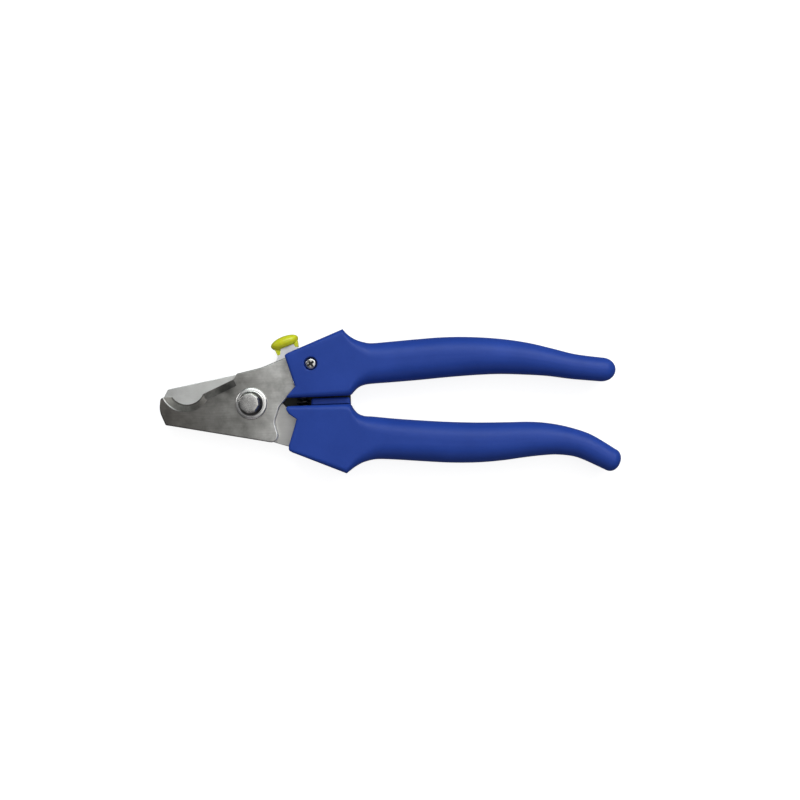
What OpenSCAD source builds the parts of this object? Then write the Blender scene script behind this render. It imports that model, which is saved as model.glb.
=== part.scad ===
// Scissor nail clipper: two stamped blades on a rivet, moulded handles, opening spring and thumb latch.
// The tool lies flat. X runs from the pivot to the handle ends, Z is the pivot axis, and Z = 0 is the
// plane it rests on. The front of the tool faces +Z, and all sizes are in millimetres.

/* [Blades] */
// Thickness of each blade plate
blade_t = 2.8; // [2.4:0.1:3.0]
// Running gap between the two plates
blade_gap = 0.06; // [0.02:0.02:0.1]
// Radius of the nail notch in each jaw
notch_r = 6.4; // [5.9:0.1:6.6]
// Width of the ground bevel, measured across the face of the plate
bevel_w = 2.7; // [2.2:0.1:3]
// Height of the unground land left behind the cutting edge
bevel_land = 0.5; // [0.3:0.1:0.8]

/* [Handles] */
// Thickness of the handles, side to side
handle_t = 13; // [12.6:0.2:14]
// Gap between the two handles when the jaws are shut
handle_gap = 3; // [2.8:0.1:3.2]
// Clearance left over the closing stop
stop_clearance = 0.5; // [0.3:0.1:0.8]
// Half thickness of the handles at their free ends
end_half_t = 5; // [4.5:0.1:5.5]

/* [Pivot] */
// Radius of the rivet shank
rivet_r = 3; // [2.8:0.1:3.2]
// Radial running clearance of the moving blade on the shank
pivot_clearance = 0.05; // [0.03:0.01:0.08]
// Radius of the rivet head at its base
rivet_head_r = 4.4; // [4.2:0.1:4.6]
// Radius of the flat on top of the rivet head
rivet_flat_r = 3.4; // [3.2:0.1:3.6]
// Outer radius of the washers
washer_r = 5.7; // [5.4:0.1:5.9]
// Thickness of the washers
washer_t = 1.1; // [0.9:0.1:1.3]

/* [Latch] */
// Thickness of the latch lever
lever_t = 2.4; // [2.0:0.1:2.4]
// Outer radius of the bush that the lever turns on
bush_r = 2.2; // [2.0:0.1:2.3]
// Length of the thumb button
button_l = 10.4; // [9.8:0.1:10.6]
// Width of the thumb button, side to side
button_w = 7.2; // [6.5:0.1:7.4]
// Height of the thumb button
button_h = 4; // [3.6:0.1:4.2]
// Radius of the latch screw's head
screw_head_r = 2; // [1.9:0.05:2.1]

/* [Springs] */
// Outer diameter of the opening spring
spring_d = 4.6; // [4.2:0.1:4.8]
// Wire diameter of the opening spring
spring_wire = 0.8; // [0.7:0.05:0.85]
// Turns of the opening spring
spring_turns = 7; // [6:1:8]
// Outer diameter of the latch spring
latch_spring_d = 1.9; // [1.7:0.1:2.0]
// Wire diameter of the latch spring
latch_spring_wire = 0.3; // [0.25:0.05:0.35]

/* [Hidden] */
$fn = 64;
over = 1;                 // how far a cutter runs past the face it opens
shear_z = handle_t / 2;   // plane in which the two blades meet
front_z = shear_z + blade_gap / 2;            // inner face of the front blade
front_top = front_z + blade_t;                // outer face of the front blade
back_top = shear_z - blade_gap / 2;           // inner face of the back blade
back_z = back_top - blade_t;                  // outer face of the back blade
half_gap = handle_gap / 2;

notch = [-23.3, 6.85];    // centre of the front jaw's notch
back_edge_drop = 0.3;     // how much lower the back jaw's notch and edge sit
edge_tip = 8.97;          // height of the straight edge where its bevel stops
edge_l = 13.2;            // length of the straight bevel
edge_angle = 23.6;        // slope of the straight cutting edge
edge_end = -6.2;          // where the straight bevel stops
bevel_rise = blade_t - bevel_land;            // height of the ground bevel

screw = [21.9, 13.3];     // axis of the latch screw
screw_r = 1.25;
screw_clearance = 0.05;
screw_seat_z = handle_t - 1.8;    // floor of the screw head's counterbore
screw_head_h = 1.5;
nut_flats = 5;
nut_t = 2;
nut_z = 0.5;
nut_pocket_depth = nut_z + nut_t;
lever_boss_r = 4;
lever_gap = 0.1;                  // lever to blade tang
lever_top = front_z - lever_gap;
lever_z = lever_top - lever_t;
cavity_z = lever_z - 0.15;        // floor of the slot that the lever moves in
button_tilt = 19.5;
button_at = [12.85, 19.85];       // middle of the button's underside
button_belly = 1.9;               // height of the button's widest part
button_under = 2.65;              // how quickly it narrows below that

spring_x = 18.3;                  // axis of the opening spring
spring_pocket_r = spring_d / 2 + 0.25;
spring_pocket_depth = 3.5;
guard_z = 0.9;                    // rear face of the spring guard
guard_t = 2.5;
guard_top = half_gap + 0.9;       // how far it reaches into the upper handle's rebate
guard_end = 35.2;                 // end of the guard nearest the grips
guard_room = 0.4;                 // clearance around it in that rebate
latch_spring_x = 16.4;            // axis of the latch spring
latch_spring_floor = 7.7;
latch_spring_top = 11.3;
latch_spring_turns = 5;

// ---- Outlines with rounded corners: each point is [x, y, corner radius] ----

function unit(v) = v / norm(v);
function xy(p) = [p.x, p.y];

function corner(a, b, c, r, steps) = r == 0 ? [b] :
    let (u = unit(a - b), v = unit(c - b),
         half = acos(u * v) / 2,
         centre = b + unit(u + v) * r / sin(half),
         from = b + u * r / tan(half) - centre,
         to = b + v * r / tan(half) - centre,
         a0 = atan2(from.y, from.x),
         sweep = (atan2(to.y, to.x) - a0 + 540) % 360 - 180)
    [for (i = [0:steps]) let (a = a0 + sweep * i / steps) centre + r * [cos(a), sin(a)]];

function rounded(points, steps = 5) = let (n = len(points))
    [for (i = [0:n - 1])
        each corner(xy(points[(i + n - 1) % n]), xy(points[i]), xy(points[(i + 1) % n]),
                    points[i].z, steps)];

// ---- Skin stretched over a row of closed rings with the same number of points ----

module skin(rings) {
    m = len(rings[0]);
    last = len(rings) - 1;
    sides = [for (i = [0:last - 1], j = [0:m - 1])
        let (a = i * m + j, b = i * m + (j + 1) % m)
        each [[b, a, b + m], [b + m, a, a + m]]];
    ends = [[for (j = [0:m - 1]) j], [for (j = [m - 1:-1:0]) last * m + j]];
    polyhedron([for (r = rings) each r], concat(sides, ends));
}

// ---- Coil springs: round wire on a helix along Z, with one closed turn at each end ----

function coil_height(turn, turns, length, wire) =
    lookup(turn, [[0, wire / 2], [1, wire * 1.55], [turns - 1, length - wire * 1.55],
                  [turns, length - wire / 2]]);

module coil(d, wire, turns, length, steps = 14, sides = 6) {
    r = (d - wire) / 2;
    skin([for (i = [0:turns * steps])
        let (a = 360 * i / steps, h = coil_height(i / steps, turns, length, wire))
        [for (j = [0:sides - 1])
            let (b = -360 * j / sides, rr = r + wire / 2 * cos(b))
            [rr * cos(a), rr * sin(a), h + wire / 2 * sin(b)]]]);
}

// ---- Blades: one jaw, heel and tang each, stamped from plate ----

front_outline = [
    [-31.0, -6.6, 0.6], [9.8, -14.9, 2.4],          // tip, back of the jaw, heel
    [7.9, -7.0, 4], [9.8, -1.6, 4],                 // waist behind the pivot
    [16.4, 5.6, 1.5], [18.5, 7.4, 1.5],             // lower edge of the tang
    [27, 7.5, 3], [38, 9.6, 4], [78, 10.6, 2],
    [78, 17.0, 2], [38, 16.2, 4], [30, 18.2, 3],    // upper edge of the tang
    [15, 16.8, 1.5], [4.0, 12.7, 20],               // top edge of the blade
    [-4.9, 10.85, 0.4], [-5.9, 9.1, 0.8],           // end of the cutting edge
    [-19.2, 3.3, 0], [-32.5, 3.3, 1.2], [-33.1, -1.5, 8]];

back_outline = [
    [-32.0, -3.6, 1.2], [-32.0, 3.2, 5], [-30.3, 6.15, 1.4],    // tip
    [-5, 10.6, 8], [4.6, 10.9, 1],                  // top edge of the blade
    [6.4, 12.3, 0.5], [8.45, 11.4, 0.3], [8.85, 9.5, 0.4],      // tooth that the latch catches
    [7.4, 6.8, 2], [9.4, 1.2, 4],                   // waist behind the pivot
    [15.9, -5.8, 1.5], [18.5, -7.6, 1.5],           // upper edge of the tang
    [27, -8.2, 3], [38, -10.6, 4], [78, -13.6, 2],
    [78, -20.0, 2], [38, -17.4, 4], [30, -20.4, 3], // lower edge of the tang
    [13.5, -16.4, 4], [4.5, -13.4, 6],              // bottom edge of the blade
    [-5.9, -11.0, 1], [-5.9, -9.5, 0.8],            // end of the cutting edge
    [-19.2, -3.6, 0]];

module plate(outline) {
    linear_extrude(blade_t) polygon(rounded(outline));
}

// Cutters for the ground edge of a jaw, for a plate whose cutting face is at z = 0.
edge_slope = bevel_w / bevel_rise;
edge_reach = bevel_w + over * edge_slope;

module notch_cutter() {
    translate([notch.x, notch.y, 0])
        rotate_extrude() polygon([
            [0, -over], [notch_r, -over], [notch_r, bevel_land],
            [notch_r + edge_reach, blade_t + over], [0, blade_t + over]]);
}

// The straight bevel is drawn across the edge and pushed along it.
module edge_cutter() {
    translate([edge_end, edge_tip, 0])
        rotate([0, 0, edge_angle + 180]) rotate([90, 0, 90])
            linear_extrude(edge_l)
                polygon([[0, bevel_land], [edge_reach, blade_t + over],
                         [-over, blade_t + over], [-over, bevel_land]]);
}

module front_blade() {
    color("silver") translate([0, 0, front_z]) difference() {
        plate(front_outline);
        notch_cutter();
        edge_cutter();
        translate([0, 0, -over]) cylinder(h = blade_t + 2 * over, r = rivet_r);
        translate([screw.x, screw.y, -over])
            cylinder(h = blade_t + 2 * over, r = screw_r + screw_clearance);
        // Small relief beside the mouth of the handle
        translate([15.3, 6.8, -over]) rotate([0, 0, -70])
            linear_extrude(blade_t + 2 * over) square([1.9, 0.5], center = true);
    }
}

module back_blade() {
    color("lightgray") translate([0, 0, back_z]) difference() {
        plate(back_outline);
        translate([0, -back_edge_drop, blade_t]) rotate([180, 0, 0]) notch_cutter();
        translate([0, -back_edge_drop, blade_t]) rotate([180, 0, 0]) edge_cutter();
        translate([0, 0, -over]) cylinder(h = blade_t + 2 * over, r = rivet_r + pivot_clearance);
    }
}

// ---- Pivot ----

module washer() {
    bevel = 0.35;
    rotate_extrude() polygon([
        [rivet_r + pivot_clearance, 0], [washer_r, 0], [washer_r, washer_t - bevel],
        [washer_r - bevel, washer_t], [rivet_r + pivot_clearance, washer_t]]);
}

module front_washer() {
    color("gainsboro") translate([0, 0, front_top]) washer();
}

module rear_washer() {
    color("gainsboro") translate([0, 0, back_z]) mirror([0, 0, 1]) washer();
}

module pivot_rivet() {
    collar_h = 0.35;
    collar_r = rivet_head_r + 0.2;
    bottom = back_z - washer_t;
    top = front_top + washer_t;
    color("silver") rotate_extrude() polygon([
        [0, 0], [rivet_flat_r, 0], [rivet_head_r, bottom - collar_h - 0.6],
        [rivet_head_r, bottom - collar_h], [collar_r, bottom - collar_h], [collar_r, bottom],
        [rivet_r, bottom], [rivet_r, top],
        [collar_r, top], [collar_r, top + collar_h], [rivet_head_r, top + collar_h],
        [rivet_head_r, top + collar_h + 0.6], [rivet_flat_r, handle_t], [0, handle_t]]);
}

// ---- Handles: rounded sections, each set by a point on its outer edge and one on its inner edge ----

// [outer x, outer y, inner x, inner y, edge radius, half thickness]
full = handle_t / 2;
upper_head = [
    [8, 15.2, 8, half_gap, 1.2, full],
    [24, 21.4, 24, half_gap, 1.4, full]];
upper_grip = [
    [33.6, 25.2, 33.6, half_gap, 2.2, full],
    [34.9, 23.6, 35.5, 1.75, 2.6, full],
    [36.6, 22.2, 36.5, 2.75, 3.2, full],
    [38.6, 21.1, 38.0, 4.1, 3.8, full],
    [40.8, 20.4, 40.0, 5.0, 4.4, full],
    [43.6, 19.95, 43.0, 5.4, 5.4, full],
    [50, 20.25, 50, 5.65, 6.0, full],
    [60, 20.8, 60, 6.1, 6.2, full],
    [70, 21.15, 70, 6.7, 6.3, full],
    [80, 20.8, 80, 7.1, 6.3, full],
    [90.5, 19.7, 89, 7.15, 6.1, full],
    [100, 17.9, 98, 6.6, 5.6, full],
    [108.5, 15.5, 106.5, 5.8, 4.9, full - 0.2],
    [116.5, 13.2, 115, 4.4, 4.35, (full + end_half_t) / 2],
    [126.1, 11.65, 125.6, 3.1, 4.2, end_half_t]];
lower_head = [
    [8, -half_gap, 8, -15.45, 1.2, full],
    [24, -half_gap, 24, -22.2, 1.4, full]];
lower_grip = [
    [33.1, -half_gap, 33.1, -26.2, 2.2, full],
    [35.2, -1.8, 34.6, -25.1, 2.6, full],
    [36.3, -3.5, 36.4, -23.9, 3.2, full],
    [37.9, -5.2, 38.8, -22.7, 3.8, full],
    [40.2, -6.1, 41.6, -21.95, 4.4, full],
    [43.2, -6.4, 44.8, -21.7, 5.4, full],
    [50.8, -7.4, 51.4, -22.2, 6.0, full],
    [60.2, -8.4, 60.8, -23.15, 6.2, full],
    [70, -9.3, 70.4, -24.0, 6.3, full],
    [80.6, -9.95, 80.2, -24.3, 6.3, full],
    [91, -10.25, 89, -23.9, 6.1, full],
    [100, -10.45, 96.8, -23.1, 5.9, full],
    [107.5, -11.4, 103.4, -22.6, 5.5, full - 0.2],
    [114.5, -13.2, 109.4, -22.6, 5.1, full - 0.6],
    [121.4, -15.95, 116.4, -24.0, 4.6, (full + end_half_t) / 2],
    [129.6, -21.3, 126.4, -28.95, 4.1, end_half_t]];
stop_edge = 4;            // how far the closing stop is set back from each face
stop_end = 35;            // end of the stop nearest the grips
groove_w = 0.35;          // width of the groove between the stop and the handle's inner edge
groove_depth = 5.5;       // its depth, from the front of the handle
groove_x = [20, 38];      // where it starts and ends
grip_steps = 2;           // sections made between one listed section and the next
cap_steps = 4;            // sections made in each rounded end
cap_l = [5.0, 3.4];       // how far the rounded ends reach past the last section

// Catmull-Rom curve through rows of numbers, t from 0 to 1 between rows i and i + 1.
function between(rows, i, t) = let (
    a = rows[max(i - 1, 0)], b = rows[i], c = rows[i + 1], d = rows[min(i + 2, len(rows) - 1)])
    0.5 * (2 * b + (c - a) * t + (2 * a - 5 * b + 4 * c - d) * t * t
           + (3 * b - a - 3 * c + d) * t * t * t);

function smooth(rows) = concat(
    [for (i = [0:len(rows) - 2], k = [0:grip_steps - 1]) between(rows, i, k / grip_steps)],
    [rows[len(rows) - 1]]);

// A rounded rectangle across the handle at one row, pushed along the handle and shrunk.
function ring(row, push = 0, shrink = 1, arc = 4) = let (
    outer = [row[0], row[1]], inner = [row[2], row[3]],
    across = unit(outer - inner),
    along = [across.y, -across.x],
    w = norm(outer - inner) / 2 * shrink,
    h = min(row[5], full) * shrink,
    r = min(row[4], w, h) * 0.999,
    middle = (outer + inner) / 2 + along * push)
    [for (q = [0:3], j = [0:arc])
        let (a = 90 * (q + j / arc),
             su = (q == 0 || q == 3) ? 1 : -1,
             sz = q < 2 ? 1 : -1,
             p = middle + across * (su * (w - r) + r * cos(a)))
        [p.x, p.y, shear_z + sz * (h - r) + r * sin(a)]];

module handle_body(head, grip, cap) {
    end = grip[len(grip) - 1];
    skin(concat(
        [for (row = head) ring(row)],
        [for (row = smooth(grip)) ring(row)],
        [for (k = [1:cap_steps]) let (a = 84 * k / cap_steps) ring(end, cap * sin(a), cos(a))]));
}

// Everything left of the mouth of each handle.
upper_mouth = [[0, 0], [12.5, 0], [12.5, 1.6], [16.0, 5.4], [12.75, 16.6], [13.6, 17.8], [13, 30],
               [0, 30]];
lower_mouth = [[0, 0], [12.5, 0], [12.5, -2.6], [13.4, -4.2], [16.1, -6.2], [15.0, -9.8],
               [13.0, -15.6], [13.0, -17.4], [12.4, -30], [0, -30]];

module full_prism(outline) {
    translate([0, 0, -over]) linear_extrude(handle_t + 2 * over) polygon(outline);
}

module spring_pocket(side) {
    translate([spring_x, 0, shear_z]) rotate([-90 * side, 0, 0])
        cylinder(h = half_gap + spring_pocket_depth, r = spring_pocket_r);
}

module lever_slot() {
    translate([0, 0, cavity_z]) linear_extrude(front_z - cavity_z) {
        polygon([[5, 9.2], [21, 9.2], [19.2, 17], [17.3, 19.2], [17.3, 30], [5, 30]]);
        translate(screw) circle(r = lever_boss_r + 0.4);
        translate([latch_spring_x - 1.15, latch_spring_floor]) square([2.3, 3]);
    }
}

module upper_handle() {
    color("royalblue") difference() {
        handle_body(upper_head, upper_grip, cap_l[0]);
        full_prism(upper_mouth);
        translate([0, 0, front_z]) plate(front_outline);
        lever_slot();
        spring_pocket(1);
        // Rebate for the spring guard
        translate([12, 0, -over])
            cube([guard_end + 1.8 - 12, guard_top + guard_room + 0.2,
                  guard_z + guard_t + guard_room + over]);
        translate([screw.x, screw.y, 0]) {
            translate([0, 0, -over]) cylinder(h = handle_t + 2 * over, r = screw_r + screw_clearance);
            translate([0, 0, screw_seat_z]) cylinder(h = handle_t, r = screw_head_r + 0.35);
            translate([0, 0, -over])
                cylinder(h = nut_pocket_depth + over, r = (nut_flats + 0.2) / sqrt(3), $fn = 6);
        }
    }
}

module lower_handle() {
    stop_top = half_gap - stop_clearance;
    color("royalblue") difference() {
        union() {
            handle_body(lower_head, lower_grip, cap_l[1]);
            translate([0, 0, stop_edge]) linear_extrude(handle_t - 2 * stop_edge)
                polygon([[21, -4], [21.4, stop_top], [stop_end, stop_top], [stop_end + 0.6, -4]]);
        }
        translate([groove_x[0], -half_gap, handle_t - groove_depth])
            cube([groove_x[1] - groove_x[0], groove_w, groove_depth]);
        full_prism(lower_mouth);
        translate([0, 0, back_z]) plate(back_outline);
        spring_pocket(-1);
        spring_guard_shape();
    }
}

// Dark tongue that closes the gap behind the opening spring, set into the lower handle.
module spring_guard_shape() {
    translate([0, 0, guard_z]) linear_extrude(guard_t)
        polygon(rounded([
            [8.6, -0.3, 0.4], [11.6, 0.9, 0.8], [13, guard_top, 0.4], [guard_end, guard_top, 0.4],
            [guard_end, -3.6, 0.4], [13.6, -3.6, 0.6], [11.2, -2.6, 1]]));
}

module spring_guard() {
    color("dimgray") spring_guard_shape();
}

// ---- Springs ----

module opening_spring() {
    reach = half_gap + spring_pocket_depth - 0.1;
    color("dimgray") translate([spring_x, reach, shear_z]) rotate([90, 0, 0])
        coil(spring_d, spring_wire, spring_turns, 2 * reach);
}

module latch_spring() {
    color("gainsboro")
        translate([latch_spring_x, latch_spring_floor + 0.05, (lever_z + lever_top) / 2])
            rotate([-90, 0, 0])
                coil(latch_spring_d, latch_spring_wire, latch_spring_turns,
                     latch_spring_top - latch_spring_floor - 0.1, 10, 5);
}

// ---- Latch ----

lever_outline = [
    [8.68, 12.35, 0.25], [8.68, 14.2, 0.6], [9.6, 16.2, 1],     // tooth
    [9.9, 19.2, 0.4],                                           // front of the neck
    [10.3, 20.8, 0.4], [14.8, 22.5, 0.4], [16.3, 20.9, 0.4],    // end inside the button
    [17.05, 19.4, 0.5], [16.9, 17.7, 1], [18.5, 16.6, 0],       // back of the neck
    [21, 15, 0], [19.0, 10.7, 0], [latch_spring_x + 1, latch_spring_top, 0],
    [latch_spring_x - 1, latch_spring_top, 0],                  // seat of the latch spring
    [12.2, 12.7, 1], [10.8, 12.15, 0.3]];

module latch_lever() {
    color("whitesmoke") translate([0, 0, lever_z]) difference() {
        union() {
            linear_extrude(lever_t) polygon(rounded(lever_outline));
            translate([screw.x, screw.y, 0]) cylinder(h = lever_t, r = lever_boss_r);
        }
        translate([screw.x, screw.y, -over])
            cylinder(h = lever_t + 2 * over, r = bush_r + screw_clearance);
    }
}

// Half-moon button with the lever's end in a slot and a skirt down each side of the neck.
// button_scale gives its size at a height above the underside, and it bulges most at its belly.
function button_scale(h) =
    let (reach = h < button_belly ? button_under : button_h - button_belly)
    sqrt(1 - pow((h - button_belly) / reach, 2));
button_rows = concat(
    [0, 0.45, 0.95, 1.45, button_belly],
    [for (k = [15:15:75]) button_belly + (button_h - button_belly) * sin(k)],
    [button_h - 0.015]);

module thumb_button() {
    color("yellow") difference() {
        union() {
            translate([button_at.x, button_at.y, lever_z + lever_t / 2])
                rotate([0, 0, button_tilt])
                    skin([for (h = button_rows) [for (a = [0:15:345])
                        [button_l / 2 * button_scale(h) * sin(a), h,
                         button_w / 2 * button_scale(h) * cos(a)]]]);
            translate([0, 0, lever_z]) linear_extrude(lever_t) {
                polygon([[8.6, 19.1], [9.7, 16.7], [10.6, 17.2], [11, 20.4]]);
                polygon([[15.4, 21.6], [16.4, 19.6], [17.3, 19.9], [17, 22.2]]);
            }
        }
        translate([0, 0, lever_z]) linear_extrude(lever_t)
            polygon(rounded(lever_outline));
    }
}

module latch_screw() {
    tip = 0.7;
    slot_w = 0.62;
    slot_l = 2.5;
    slot_depth = 1;
    head_top = screw_seat_z + screw_head_h;
    color("gainsboro") translate([screw.x, screw.y, 0]) difference() {
        rotate_extrude() polygon([
            [0, tip], [screw_r - 0.2, tip], [screw_r, tip + 0.2], [screw_r, screw_seat_z],
            [screw_head_r, screw_seat_z], [screw_head_r, head_top - 0.5],
            [screw_head_r - 0.45, head_top - 0.1], [0.9, head_top], [0, head_top]]);
        for (a = [35, 125])
            translate([0, 0, head_top]) rotate([0, 0, a])
                cube([slot_l, slot_w, 2 * slot_depth], center = true);
    }
}

module latch_bush() {
    color("gainsboro") translate([screw.x, screw.y, cavity_z]) difference() {
        cylinder(h = front_z - cavity_z, r = bush_r);
        translate([0, 0, -over])
            cylinder(h = handle_t, r = screw_r + screw_clearance);
    }
}

module latch_nut() {
    color("gold") translate([screw.x, screw.y, nut_z]) difference() {
        cylinder(h = nut_t, r = nut_flats / sqrt(3), $fn = 6);
        translate([0, 0, -over]) cylinder(h = nut_t + 2 * over, r = screw_r + 0.02);
    }
}

front_blade();
back_blade();
pivot_rivet();
front_washer();
rear_washer();
upper_handle();
lower_handle();
opening_spring();
latch_lever();
thumb_button();
latch_screw();
latch_bush();
latch_nut();
latch_spring();
spring_guard();
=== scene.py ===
import math

import bmesh
import bpy
import numpy as np
from mathutils import Matrix, Vector


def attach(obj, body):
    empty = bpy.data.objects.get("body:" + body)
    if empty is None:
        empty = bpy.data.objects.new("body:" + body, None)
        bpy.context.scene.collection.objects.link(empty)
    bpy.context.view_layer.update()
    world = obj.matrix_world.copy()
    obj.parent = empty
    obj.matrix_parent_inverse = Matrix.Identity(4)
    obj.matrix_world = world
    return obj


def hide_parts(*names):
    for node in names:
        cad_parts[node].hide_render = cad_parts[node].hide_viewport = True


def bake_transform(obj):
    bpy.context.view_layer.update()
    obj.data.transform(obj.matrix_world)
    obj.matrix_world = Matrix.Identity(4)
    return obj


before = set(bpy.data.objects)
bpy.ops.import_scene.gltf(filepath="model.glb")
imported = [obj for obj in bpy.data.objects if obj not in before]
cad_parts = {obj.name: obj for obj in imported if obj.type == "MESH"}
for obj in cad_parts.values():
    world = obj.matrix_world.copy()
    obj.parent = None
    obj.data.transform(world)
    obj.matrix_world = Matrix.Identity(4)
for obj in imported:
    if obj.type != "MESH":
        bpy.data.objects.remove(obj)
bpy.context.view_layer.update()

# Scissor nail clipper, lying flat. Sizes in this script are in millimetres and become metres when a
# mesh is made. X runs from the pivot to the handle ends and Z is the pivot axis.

MM = 0.001
THICK = 13.0                    # of the handles, side to side
SHEAR = 6.5                     # plane in which the two blades meet
FRONT_Z = (6.53, 9.33)          # lower and upper face of the front blade
BACK_Z = (3.67, 6.47)           # and of the back blade
LEVER_Z = (4.03, 6.43)          # and of the latch lever
LEVER_MID = sum(LEVER_Z) / 2
SCREW = (21.9, 13.3)            # axis of the latch screw
NOTCH = (-23.3, 6.85, 6.4)      # centre and radius of the front jaw's notch
LAND, BEVEL, BLADE_T = 0.5, 2.7, 2.8    # unground height, ground width and blade thickness
HALF_GAP = 1.5                  # the handles' inner edges stand this far from y = 0
GUARD_END, GUARD_TOP = 35.2, 2.4        # +X end and +Y edge of the spring guard


# ---- Outlines -------------------------------------------------------------------------------

def unit(v):
    return v / np.linalg.norm(v)


def rounded(points, steps=10):
    """Closed outline from [x, y, corner radius] rows, with each corner turned into an arc."""
    out = []
    n = len(points)
    for i in range(n):
        a, b, c = (np.array(points[j % n][:2], float) for j in (i - 1, i, i + 1))
        r = points[i][2]
        if r == 0:
            out.append(b)
            continue
        u, v = unit(a - b), unit(c - b)
        half = math.acos(np.clip(u @ v, -1, 1)) / 2
        centre = b + unit(u + v) * r / math.sin(half)
        start = b + u * r / math.tan(half) - centre
        end = b + v * r / math.tan(half) - centre
        a0 = math.atan2(start[1], start[0])
        sweep = (math.atan2(end[1], end[0]) - a0 + 3 * math.pi) % (2 * math.pi) - math.pi
        for k in range(steps + 1):
            t = a0 + sweep * k / steps
            out.append(centre + r * np.array([math.cos(t), math.sin(t)]))
    return out


def inset(outline, d):
    """Each point moved inwards by d along the mitre of a closed outline."""
    p = np.array(outline)
    area = np.sum(p[:, 0] * np.roll(p[:, 1], -1) - np.roll(p[:, 0], -1) * p[:, 1])
    side = 1 if area > 0 else -1
    out = []
    n = len(p)
    for i in range(n):
        a, b = p[i] - p[i - 1], p[(i + 1) % n] - p[i]
        a = unit(a) if np.linalg.norm(a) > 1e-9 else unit(b)
        b = unit(b) if np.linalg.norm(b) > 1e-9 else a
        na = side * np.array([-a[1], a[0]])
        nb = side * np.array([-b[1], b[0]])
        m = unit(na + nb)
        out.append(p[i] + m * d / max(0.5, float(m @ na)))
    return out


# ---- Meshes ---------------------------------------------------------------------------------

def make(name, verts, faces, sharp=35):
    """A new object from millimetre points, smooth but for edges sharper than that many degrees."""
    me = bpy.data.meshes.new(name)
    me.from_pydata([tuple(float(c) * MM for c in v) for v in verts], [], faces)
    ob = bpy.data.objects.new(name, me)
    bpy.context.scene.collection.objects.link(ob)
    tidy(ob, sharp)
    return ob


def tidy(ob, sharp=35):
    """Welds, points all faces outwards and marks the sharp edges."""
    bm = bmesh.new()
    bm.from_mesh(ob.data)
    bmesh.ops.remove_doubles(bm, verts=bm.verts, dist=2e-6)
    bmesh.ops.dissolve_degenerate(bm, edges=bm.edges, dist=1e-7)
    bmesh.ops.recalc_face_normals(bm, faces=bm.faces)
    for f in bm.faces:
        f.smooth = True
    bm.to_mesh(ob.data)
    bm.free()
    ob.data.set_sharp_from_angle(angle=math.radians(sharp))


def weighted(ob):
    m = ob.modifiers.new("flat faces stay flat", "WEIGHTED_NORMAL")
    m.keep_sharp = True
    m.weight = 90
    return ob


def rings_mesh(name, rings, sharp=35, ends=True):
    """Skin over a row of closed rings, with a face over each end unless the row meets itself."""
    m = len(rings[0])
    verts = [p for r in rings for p in r]
    faces = []
    for i in range(len(rings) - 1):
        for j in range(m):
            a, b = i * m + j, i * m + (j + 1) % m
            faces.append((a, b, b + m, a + m))
    if ends:
        for first in (0, (len(rings) - 1) * m):
            faces.append(tuple(first + j for j in range(m)))
    return make(name, verts, faces, sharp)


AXIS_R = 0.004      # smallest ring, used where a profile reaches its axis


def lathe(name, profile, centre=(0, 0), sides=96, sharp=35):
    """Turns [radius, z] points about a Z axis. A profile that ends where it starts makes a ring."""
    rings = []
    for r, z in profile:
        r = max(r, AXIS_R)
        rings.append([(centre[0] + r * math.cos(2 * math.pi * k / sides),
                       centre[1] + r * math.sin(2 * math.pi * k / sides), z)
                      for k in range(sides)])
    return rings_mesh(name, rings, sharp, ends=profile[0] != profile[-1])


def plate(name, outline, z, edge=0.15, steps=3, sharp=35):
    """Flat plate between two heights, with its long edges rounded over."""
    def level(t, height, side):
        return [(*p, height + side * edge * (1 - math.cos(t)))
                for p in inset(outline, edge * (1 - math.sin(t)))]

    bottom = [level(math.pi / 2 * k / steps, z[0], 1) for k in range(steps + 1)]
    top = [level(math.pi / 2 * (1 - k / steps), z[1], -1) for k in range(steps + 1)]
    return rings_mesh(name, bottom + top, sharp)


def prism(name, outline, z):
    """Straight-sided block between two heights, used as a cutter."""
    return rings_mesh(name, [[(*p, z[0]) for p in outline], [(*p, z[1]) for p in outline]])


def cut(ob, cutters, how="DIFFERENCE", sharp=35):
    """Applies boolean cuts one after another and throws the cutters away."""
    for c in cutters:
        m = ob.modifiers.new("cut", "BOOLEAN")
        m.operation = how
        m.solver = "EXACT"
        m.object = c
        bpy.context.view_layer.update()
        me = bpy.data.meshes.new_from_object(ob.evaluated_get(bpy.context.evaluated_depsgraph_get()))
        ob.modifiers.clear()
        old = ob.data
        ob.data = me
        bpy.data.meshes.remove(old)
        bpy.data.objects.remove(c)
    tidy(ob, sharp)
    return ob


def coil(name, start, end, d, wire, turns, sides=10, steps=30):
    """Round wire wound from start to end, with one closed turn at each end."""
    start, end = Vector(start), Vector(end)
    axis = (end - start).normalized()
    across = axis.orthogonal().normalized()
    third = axis.cross(across)
    length = (end - start).length
    r = (d - wire) / 2
    lead = wire * 1.55      # height reached after the closed turn
    knots_t = [0, 1, turns - 1, turns]
    knots_h = [wire / 2, lead, length - lead, length - wire / 2]
    rings = []
    for i in range(turns * steps + 1):
        t = i / steps
        a = 2 * math.pi * t
        h = float(np.interp(t, knots_t, knots_h))
        out = across * math.cos(a) + third * math.sin(a)
        centre = start + axis * h + out * r
        rings.append([tuple(centre + out * (wire / 2 * math.cos(b)) + axis * (wire / 2 * math.sin(b)))
                      for b in (2 * math.pi * j / sides for j in range(sides))])
    return rings_mesh(name, rings, 60)


# ---- Materials ------------------------------------------------------------------------------

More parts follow.
